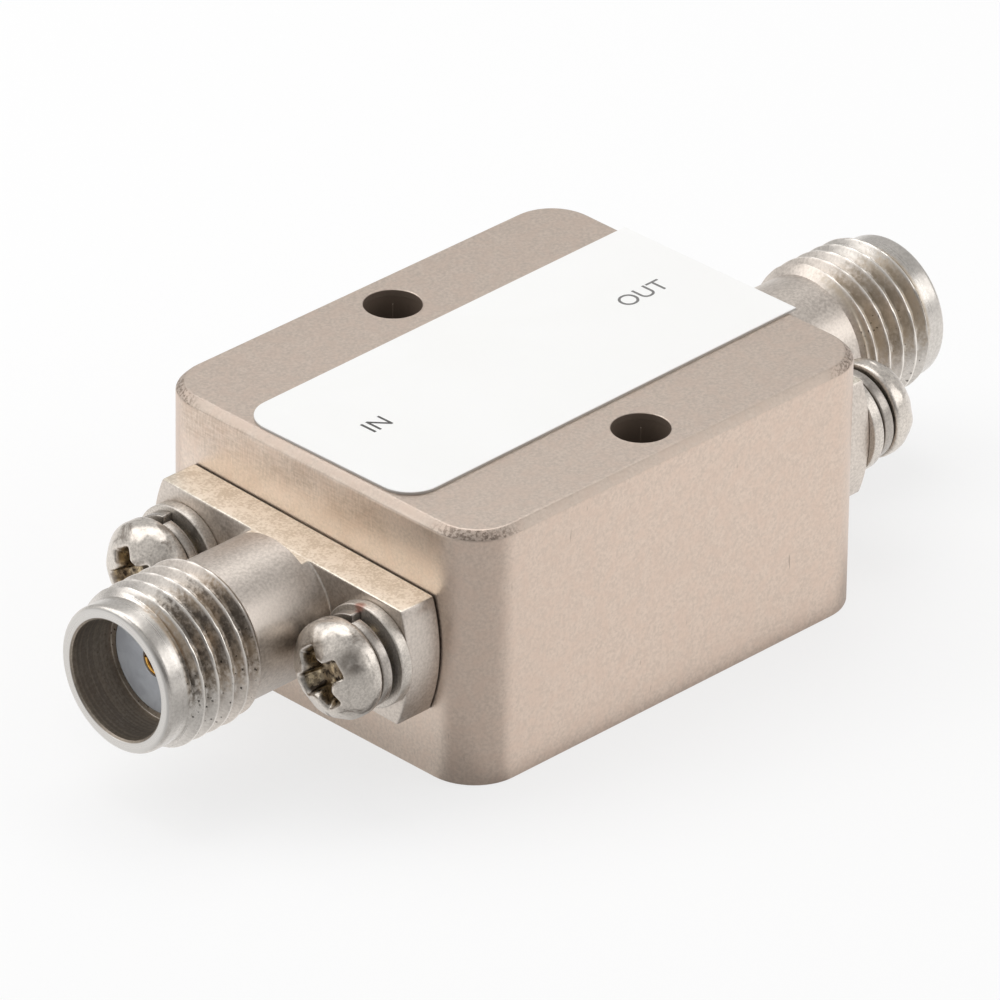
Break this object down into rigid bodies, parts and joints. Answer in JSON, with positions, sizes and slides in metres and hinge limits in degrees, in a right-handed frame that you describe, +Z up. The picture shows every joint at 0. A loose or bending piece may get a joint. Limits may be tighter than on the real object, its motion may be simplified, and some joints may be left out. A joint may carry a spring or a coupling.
{
  "type": "coaxial fixed attenuator",
  "caption": "Small metal block with a threaded coaxial socket on each end, screwed on by flanges, that lowers the level of a radio-frequency signal; through holes for mounting.",
  "frame": {"origin": "centre of the block's bottom face", "axes": "+X along the connectors from IN to OUT, +Z up through the label"},
  "size_m": [0.04, 0.0166, 0.0105],
  "materials": {
    "housing_nickel": "satin nickel plate",
    "lid_nickel": "satin nickel plate",
    "label_white": "glossy film",
    "connector_steel": "passivated, turned",
    "dielectric_white": "smooth",
    "contact_gold": "gold plate",
    "screw_steel": "satin, stained",
    "washer_steel": "satin",
    "board_ceramic": "matt",
    "chip_ceramic": "matt"
  },
  "bodies": {
    "root": {"housing": "housing_nickel", "lid": "lid_nickel", "label": "label_white", "in_connector_shell": "connector_steel", "out_connector_shell": "connector_steel", "in_dielectric": "dielectric_white", "out_dielectric": "dielectric_white", "in_center_contact": "contact_gold", "out_center_contact": "contact_gold", "in_flange_screws": "screw_steel", "out_flange_screws": "screw_steel", "in_lock_washers": "washer_steel", "out_lock_washers": "washer_steel", "in_flat_washers": "washer_steel", "out_flat_washers": "washer_steel", "in_line_board": "board_ceramic", "attenuator_chip": "chip_ceramic", "out_line_board": "board_ceramic", "in_bond_ribbon": "contact_gold", "out_bond_ribbon": "contact_gold"}
  },
  "joints": []
}
